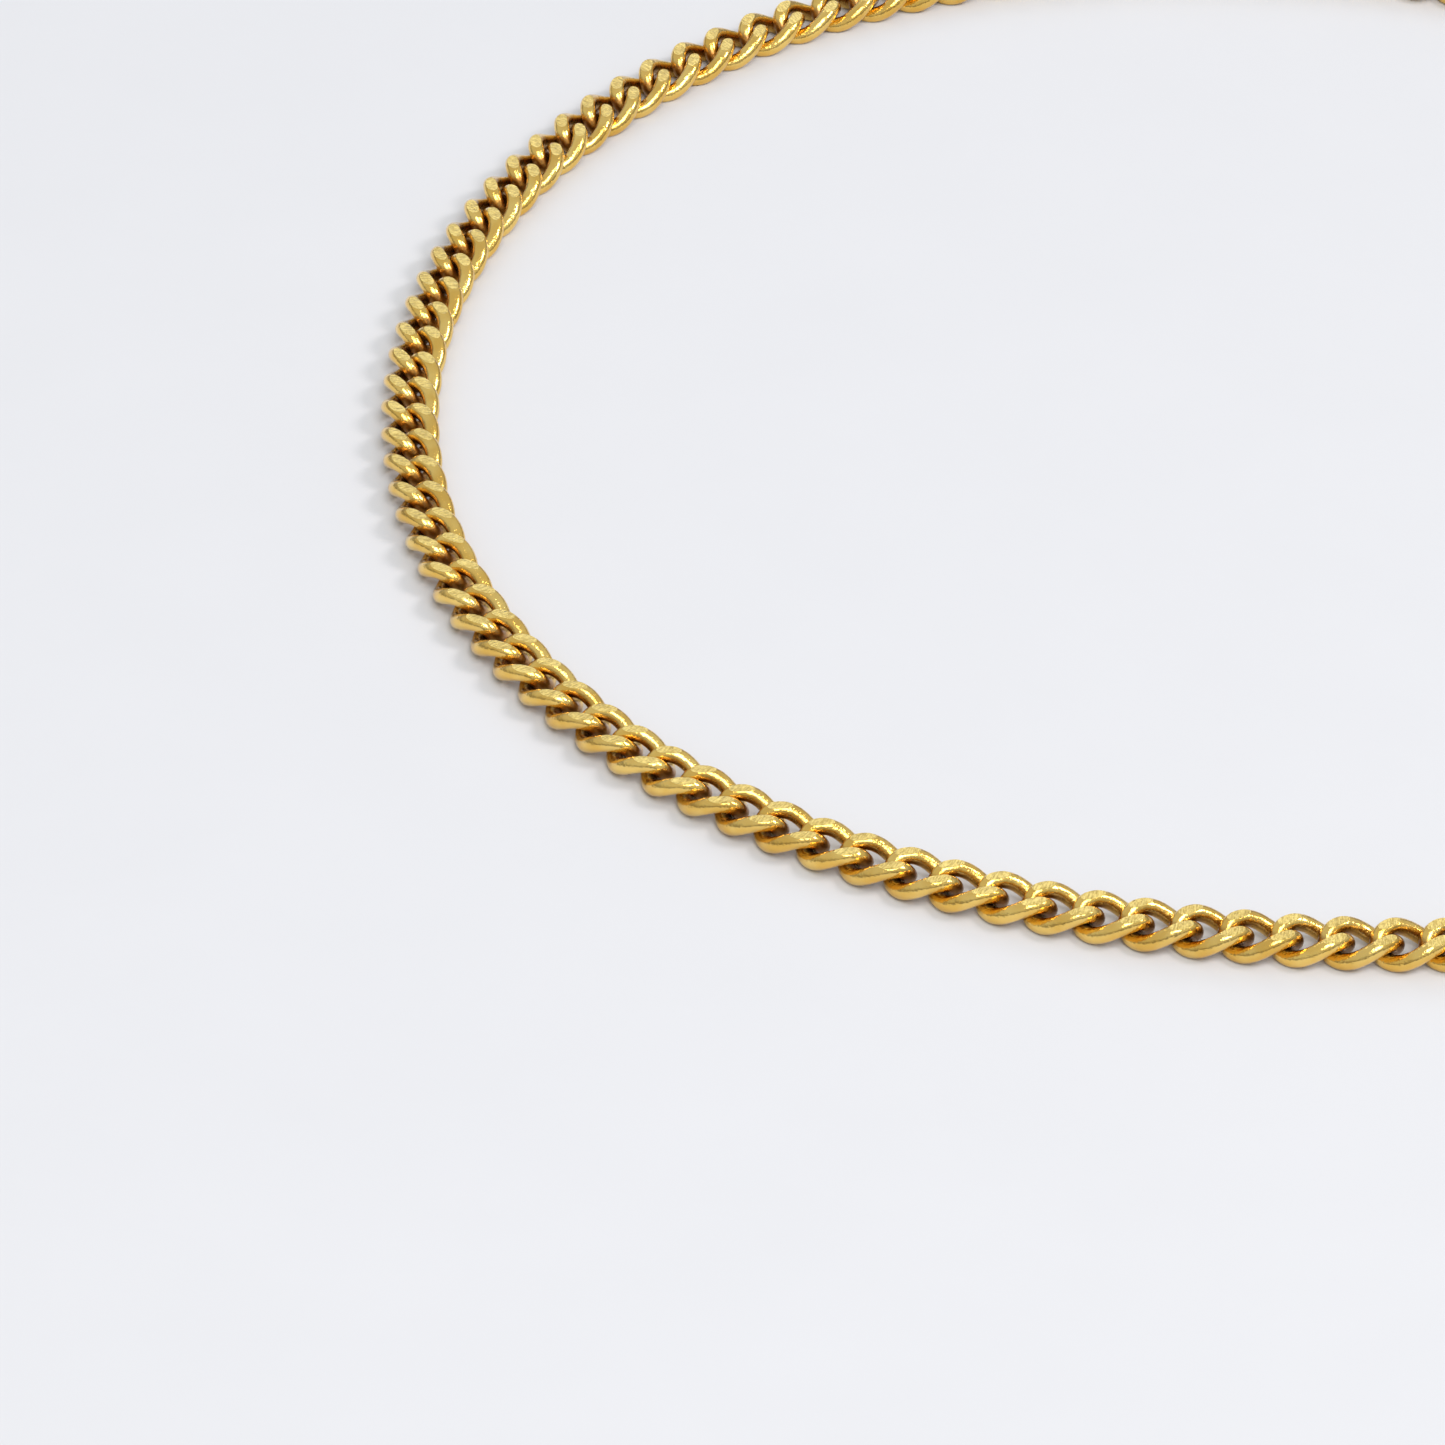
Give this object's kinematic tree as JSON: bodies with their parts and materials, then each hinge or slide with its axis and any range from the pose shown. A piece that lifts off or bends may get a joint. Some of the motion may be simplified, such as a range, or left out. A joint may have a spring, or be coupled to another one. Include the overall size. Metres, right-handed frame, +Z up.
{
  "type": "chain necklace",
  "caption": "Flat-lying curb chain necklace of twisted, filed oval links with jump rings and a sprung lobster clasp, laid unfastened in an open loop.",
  "frame": {"origin": "centre of the laid necklace's outline, on the surface that it lies on", "axes": "+Z up from the surface, +X to the right of the picture towards the open ends, +Y away from the camera"},
  "size_m": [0.1614, 0.1544, 0.0037],
  "materials": {
    "gold": "gold-coloured plating, filed flats matt with fine scratches, round wire glossy",
    "spring_steel": "drawn spring wire"
  },
  "bodies": {
    "links_001_002": {"links_001_002": "gold"},
    "links_003_004": {"links_003_004": "gold"},
    "links_005_006": {"links_005_006": "gold"},
    "links_007_008": {"links_007_008": "gold"},
    "links_009_010": {"links_009_010": "gold"},
    "links_011_012": {"links_011_012": "gold"},
    "links_013_014": {"links_013_014": "gold"},
    "links_015_016": {"links_015_016": "gold"},
    "links_017_018": {"links_017_018": "gold"},
    "links_019_020": {"links_019_020": "gold"},
    "links_021_022": {"links_021_022": "gold"},
    "links_023_024": {"links_023_024": "gold"},
    "links_025_026": {"links_025_026": "gold"},
    "links_027_028": {"links_027_028": "gold"},
    "links_029_030": {"links_029_030": "gold"},
    "links_031_032": {"links_031_032": "gold"},
    "links_033_034": {"links_033_034": "gold"},
    "links_035_036": {"links_035_036": "gold"},
    "links_037_038": {"links_037_038": "gold"},
    "links_039_040": {"links_039_040": "gold"},
    "links_041_042": {"links_041_042": "gold"},
    "links_043_044": {"links_043_044": "gold"},
    "links_045_046": {"links_045_046": "gold"},
    "links_047_048": {"links_047_048": "gold"},
    "links_049_050": {"links_049_050": "gold"},
    "links_051_052": {"links_051_052": "gold"},
    "links_053_054": {"links_053_054": "gold"},
    "links_055_056": {"links_055_056": "gold"},
    "links_057_058": {"links_057_058": "gold"},
    "links_059_060": {"links_059_060": "gold"},
    "links_061_062": {"links_061_062": "gold"},
    "links_063_064": {"links_063_064": "gold"},
    "links_065_066": {"links_065_066": "gold"},
    "links_067_068": {"links_067_068": "gold"},
    "links_069_070": {"links_069_070": "gold"},
    "links_071_072": {"links_071_072": "gold"},
    "links_073_074": {"links_073_074": "gold"},
    "links_075_076": {"links_075_076": "gold"},
    "links_077_078": {"links_077_078": "gold"},
    "links_079_080": {"links_079_080": "gold"},
    "links_081_082": {"links_081_082": "gold"},
    "links_083_084": {"links_083_084": "gold"},
    "links_085_086": {"links_085_086": "gold"},
    "links_087_088": {"links_087_088": "gold"},
    "links_089_090": {"links_089_090": "gold"},
    "links_091_092": {"links_091_092": "gold"},
    "links_093_094": {"links_093_094": "gold"},
    "links_095_096": {"links_095_096": "gold"},
    "links_097_098": {"links_097_098": "gold"},
    "links_099_100": {"links_099_100": "gold"},
    "links_101_102": {"links_101_102": "gold"},
    "links_103_104": {"links_103_104": "gold"},
    "links_105_106": {"links_105_106": "gold"},
    "links_107_108": {"links_107_108": "gold"},
    "clasp_jump_ring": {"clasp_jump_ring": "gold"},
    "clasp": {"clasp_body": "gold", "clasp_pin": "gold", "clasp_spring": "spring_steel"},
    "clasp_lever": {"clasp_lever": "gold"},
    "end_jump_ring": {"end_jump_ring": "gold"}
  },
  "joints": [
    {"name": "clasp_lever_open", "type": "hinge", "parent": "clasp", "child": "clasp_lever", "pos_m": [0.06442, 0.03069, 0.0014], "axis": [0, 0, 1], "range_deg": [0, 25], "stiffness_Nm_per_rad": 0.001, "springref_deg": -20.05},
    {"name": "clasp_body_swing", "type": "hinge", "parent": "clasp_jump_ring", "child": "clasp", "pos_m": [0.06282, 0.03422, 0.00195], "axis": [0.7186, 0.4833, 0.5], "range_deg": [-25, 25]},
    {"name": "clasp_ring_swing", "type": "hinge", "parent": "links_107_108", "child": "clasp_jump_ring", "pos_m": [0.06116, 0.03661, 0.0013], "axis": [0.4994, 0.3358, -0.7986], "range_deg": [-15, 15]},
    {"name": "end_ring_swing", "type": "hinge", "parent": "links_001_002", "child": "end_jump_ring", "pos_m": [0.07785, -0.00788, 0.0013], "axis": [-0.5998, -0.0497, -0.7986], "range_deg": [-15, 15]},
    {"name": "link_002_003_bend", "type": "hinge", "parent": "links_003_004", "child": "links_001_002", "pos_m": [0.07829, -0.01676, 0.0013], "axis": [0, 0, 1], "range_deg": [-10, 10]},
    {"name": "link_004_005_fold", "type": "hinge", "parent": "links_005_006", "child": "links_003_004", "pos_m": [0.07746, -0.02471, 0.0013], "axis": [0.9839, -0.1788, 0], "range_deg": [-18, 18]},
    {"name": "link_006_007_bend", "type": "hinge", "parent": "links_007_008", "child": "links_005_006", "pos_m": [0.07544, -0.03244, 0.0013], "axis": [0, 0, -1], "range_deg": [-10, 10]},
    {"name": "link_008_009_fold", "type": "hinge", "parent": "links_009_010", "child": "links_007_008", "pos_m": [0.07229, -0.03979, 0.0013], "axis": [0.8872, -0.4614, 0], "range_deg": [-18, 18]},
    {"name": "link_010_011_bend", "type": "hinge", "parent": "links_011_012", "child": "links_009_010", "pos_m": [0.06809, -0.0466, 0.0013], "axis": [0, 0, 1], "range_deg": [-10, 10]},
    {"name": "link_012_013_fold", "type": "hinge", "parent": "links_013_014", "child": "links_011_012", "pos_m": [0.06298, -0.05274, 0.0013], "axis": [-0.7234, 0.6904, 0], "range_deg": [-18, 18]},
    {"name": "link_014_015_bend", "type": "hinge", "parent": "links_015_016", "child": "links_013_014", "pos_m": [0.05709, -0.05815, 0.0013], "axis": [0, 0, -1], "range_deg": [-10, 10]},
    {"name": "link_016_017_fold", "type": "hinge", "parent": "links_017_018", "child": "links_015_016", "pos_m": [0.05057, -0.06278, 0.0013], "axis": [-0.5288, 0.8487, 0], "range_deg": [-18, 18]},
    {"name": "link_018_019_bend", "type": "hinge", "parent": "links_019_020", "child": "links_017_018", "pos_m": [0.04355, -0.06661, 0.0013], "axis": [0, 0, 1], "range_deg": [-10, 10]},
    {"name": "link_020_021_fold", "type": "hinge", "parent": "links_021_022", "child": "links_019_020", "pos_m": [0.03617, -0.06967, 0.0013], "axis": [0.3351, -0.9422, 0], "range_deg": [-18, 18]},
    {"name": "link_022_023_bend", "type": "hinge", "parent": "links_023_024", "child": "links_021_022", "pos_m": [0.02851, -0.07199, 0.0013], "axis": [0, 0, -1], "range_deg": [-10, 10]},
    {"name": "link_024_025_fold", "type": "hinge", "parent": "links_025_026", "child": "links_023_024", "pos_m": [0.02067, -0.07359, 0.0013], "axis": [0.1572, -0.9876, 0], "range_deg": [-18, 18]},
    {"name": "link_026_027_bend", "type": "hinge", "parent": "links_027_028", "child": "links_025_026", "pos_m": [0.01273, -0.07451, 0.0013], "axis": [0, 0, 1], "range_deg": [-10, 10]},
    {"name": "link_028_029_fold", "type": "hinge", "parent": "links_029_030", "child": "links_027_028", "pos_m": [0.00473, -0.07478, 0.0013], "axis": [0.0066, 1, 0], "range_deg": [-18, 18]},
    {"name": "link_030_031_bend", "type": "hinge", "parent": "links_031_032", "child": "links_029_030", "pos_m": [-0.00326, -0.07441, 0.0013], "axis": [0, 0, -1], "range_deg": [-10, 10]},
    {"name": "link_032_033_fold", "type": "hinge", "parent": "links_033_034", "child": "links_031_032", "pos_m": [-0.01119, -0.0734, 0.0013], "axis": [0.1664, 0.986, 0], "range_deg": [-18, 18]},
    {"name": "link_034_035_bend", "type": "hinge", "parent": "links_035_036", "child": "links_033_034", "pos_m": [-0.01901, -0.07174, 0.0013], "axis": [0, 0, 1], "range_deg": [-10, 10]},
    {"name": "link_036_037_fold", "type": "hinge", "parent": "links_037_038", "child": "links_035_036", "pos_m": [-0.02667, -0.06943, 0.0013], "axis": [-0.3313, -0.9435, 0], "range_deg": [-18, 18]},
    {"name": "link_038_039_bend", "type": "hinge", "parent": "links_039_040", "child": "links_037_038", "pos_m": [-0.03409, -0.06644, 0.0013], "axis": [0, 0, -1], "range_deg": [-10, 10]},
    {"name": "link_040_041_fold", "type": "hinge", "parent": "links_041_042", "child": "links_039_040", "pos_m": [-0.04119, -0.06276, 0.0013], "axis": [-0.5018, -0.865, 0], "range_deg": [-18, 18]},
    {"name": "link_042_043_bend", "type": "hinge", "parent": "links_043_044", "child": "links_041_042", "pos_m": [-0.0479, -0.05841, 0.0013], "axis": [0, 0, 1], "range_deg": [-10, 10]},
    {"name": "link_044_045_fold", "type": "hinge", "parent": "links_045_046", "child": "links_043_044", "pos_m": [-0.05412, -0.05339, 0.0013], "axis": [0.6682, 0.744, 0], "range_deg": [-18, 18]},
    {"name": "link_046_047_bend", "type": "hinge", "parent": "links_047_048", "child": "links_045_046", "pos_m": [-0.05978, -0.04773, 0.0013], "axis": [0, 0, -1], "range_deg": [-10, 10]},
    {"name": "link_048_049_fold", "type": "hinge", "parent": "links_049_050", "child": "links_047_048", "pos_m": [-0.06478, -0.04149, 0.0013], "axis": [0.8136, 0.5815, 0], "range_deg": [-18, 18]},
    {"name": "link_050_051_bend", "type": "hinge", "parent": "links_051_052", "child": "links_049_050", "pos_m": [-0.06906, -0.03474, 0.0013], "axis": [0, 0, 1], "range_deg": [-10, 10]},
    {"name": "link_052_053_fold", "type": "hinge", "parent": "links_053_054", "child": "links_051_052", "pos_m": [-0.07257, -0.02755, 0.0013], "axis": [-0.9218, -0.3878, 0], "range_deg": [-18, 18]},
    {"name": "link_054_055_bend", "type": "hinge", "parent": "links_053_054", "child": "links_055_056", "pos_m": [-0.07526, -0.02002, 0.0013], "axis": [0, 0, 1], "range_deg": [-10, 10]},
    {"name": "link_056_057_fold", "type": "hinge", "parent": "links_055_056", "child": "links_057_058", "pos_m": [-0.07711, -0.01224, 0.0013], "axis": [-0.984, -0.1782, 0], "range_deg": [-18, 18]},
    {"name": "link_058_059_bend", "type": "hinge", "parent": "links_057_058", "child": "links_059_060", "pos_m": [-0.07811, -0.0043, 0.0013], "axis": [0, 0, -1], "range_deg": [-10, 10]},
    {"name": "link_060_061_fold", "type": "hinge", "parent": "links_059_060", "child": "links_061_062", "pos_m": [-0.07826, 0.00369, 0.0013], "axis": [0.9994, -0.0336, 0], "range_deg": [-18, 18]},
    {"name": "link_062_063_bend", "type": "hinge", "parent": "links_061_062", "child": "links_063_064", "pos_m": [-0.07757, 0.01166, 0.0013], "axis": [0, 0, 1], "range_deg": [-10, 10]},
    {"name": "link_064_065_fold", "type": "hinge", "parent": "links_063_064", "child": "links_065_066", "pos_m": [-0.07606, 0.01951, 0.0013], "axis": [0.9709, -0.2396, 0], "range_deg": [-18, 18]},
    {"name": "link_066_067_bend", "type": "hinge", "parent": "links_065_066", "child": "links_067_068", "pos_m": [-0.07375, 0.02717, 0.0013], "axis": [0, 0, -1], "range_deg": [-10, 10]},
    {"name": "link_068_069_fold", "type": "hinge", "parent": "links_067_068", "child": "links_069_070", "pos_m": [-0.07064, 0.03454, 0.0013], "axis": [-0.8999, 0.4361, 0], "range_deg": [-18, 18]},
    {"name": "link_070_071_bend", "type": "hinge", "parent": "links_069_070", "child": "links_071_072", "pos_m": [-0.06678, 0.04154, 0.0013], "axis": [0, 0, 1], "range_deg": [-10, 10]},
    {"name": "link_072_073_fold", "type": "hinge", "parent": "links_071_072", "child": "links_073_074", "pos_m": [-0.06218, 0.04808, 0.0013], "axis": [-0.7856, 0.6187, 0], "range_deg": [-18, 18]},
    {"name": "link_074_075_bend", "type": "hinge", "parent": "links_073_074", "child": "links_075_076", "pos_m": [-0.05689, 0.05408, 0.0013], "axis": [0, 0, -1], "range_deg": [-10, 10]},
    {"name": "link_076_077_fold", "type": "hinge", "parent": "links_075_076", "child": "links_077_078", "pos_m": [-0.05096, 0.05945, 0.0013], "axis": [0.6279, -0.7783, 0], "range_deg": [-18, 18]},
    {"name": "link_078_079_bend", "type": "hinge", "parent": "links_077_078", "child": "links_079_080", "pos_m": [-0.04446, 0.0641, 0.0013], "axis": [0, 0, 1], "range_deg": [-10, 10]},
    {"name": "link_080_081_fold", "type": "hinge", "parent": "links_079_080", "child": "links_081_082", "pos_m": [-0.03746, 0.06797, 0.0013], "axis": [0.4324, -0.9017, 0], "range_deg": [-18, 18]},
    {"name": "link_082_083_bend", "type": "hinge", "parent": "links_081_082", "child": "links_083_084", "pos_m": [-0.03006, 0.07101, 0.0013], "axis": [0, 0, -1], "range_deg": [-10, 10]},
    {"name": "link_084_085_fold", "type": "hinge", "parent": "links_083_084", "child": "links_085_086", "pos_m": [-0.02236, 0.07316, 0.0013], "axis": [-0.2135, 0.9769, 0], "range_deg": [-18, 18]},
    {"name": "link_086_087_bend", "type": "hinge", "parent": "links_085_086", "child": "links_087_088", "pos_m": [-0.01447, 0.07442, 0.0013], "axis": [0, 0, 1], "range_deg": [-10, 10]},
    {"name": "link_088_089_fold", "type": "hinge", "parent": "links_087_088", "child": "links_089_090", "pos_m": [-0.00648, 0.07479, 0.0013], "axis": [0.009, 1, 0], "range_deg": [-18, 18]},
    {"name": "link_090_091_bend", "type": "hinge", "parent": "links_089_090", "child": "links_091_092", "pos_m": [0.0015, 0.07429, 0.0013], "axis": [0, 0, -1], "range_deg": [-10, 10]},
    {"name": "link_092_093_fold", "type": "hinge", "parent": "links_091_092", "child": "links_093_094", "pos_m": [0.00939, 0.07295, 0.0013], "axis": [-0.2177, -0.976, 0], "range_deg": [-18, 18]},
    {"name": "link_094_095_bend", "type": "hinge", "parent": "links_093_094", "child": "links_095_096", "pos_m": [0.0171, 0.07082, 0.0013], "axis": [0, 0, 1], "range_deg": [-10, 10]},
    {"name": "link_096_097_fold", "type": "hinge", "parent": "links_095_096", "child": "links_097_098", "pos_m": [0.02456, 0.06794, 0.0013], "axis": [-0.4038, -0.9148, 0], "range_deg": [-18, 18]},
    {"name": "link_098_099_bend", "type": "hinge", "parent": "links_097_098", "child": "links_099_100", "pos_m": [0.03171, 0.06437, 0.0013], "axis": [0, 0, -1], "range_deg": [-10, 10]},
    {"name": "link_100_101_fold", "type": "hinge", "parent": "links_099_100", "child": "links_101_102", "pos_m": [0.0385, 0.06014, 0.0013], "axis": [0.568, 0.823, 0], "range_deg": [-18, 18]},
    {"name": "link_102_103_bend", "type": "hinge", "parent": "links_101_102", "child": "links_103_104", "pos_m": [0.04486, 0.05529, 0.0013], "axis": [0, 0, 1], "range_deg": [-10, 10]},
    {"name": "link_104_105_fold", "type": "hinge", "parent": "links_103_104", "child": "links_105_106", "pos_m": [0.05073, 0.04985, 0.0013], "axis": [0.7149, 0.6992, 0], "range_deg": [-18, 18]},
    {"name": "link_106_107_bend", "type": "hinge", "parent": "links_105_106", "child": "links_107_108", "pos_m": [0.05603, 0.04386, 0.0013], "axis": [0, 0, -1], "range_deg": [-10, 10]}
  ]
}
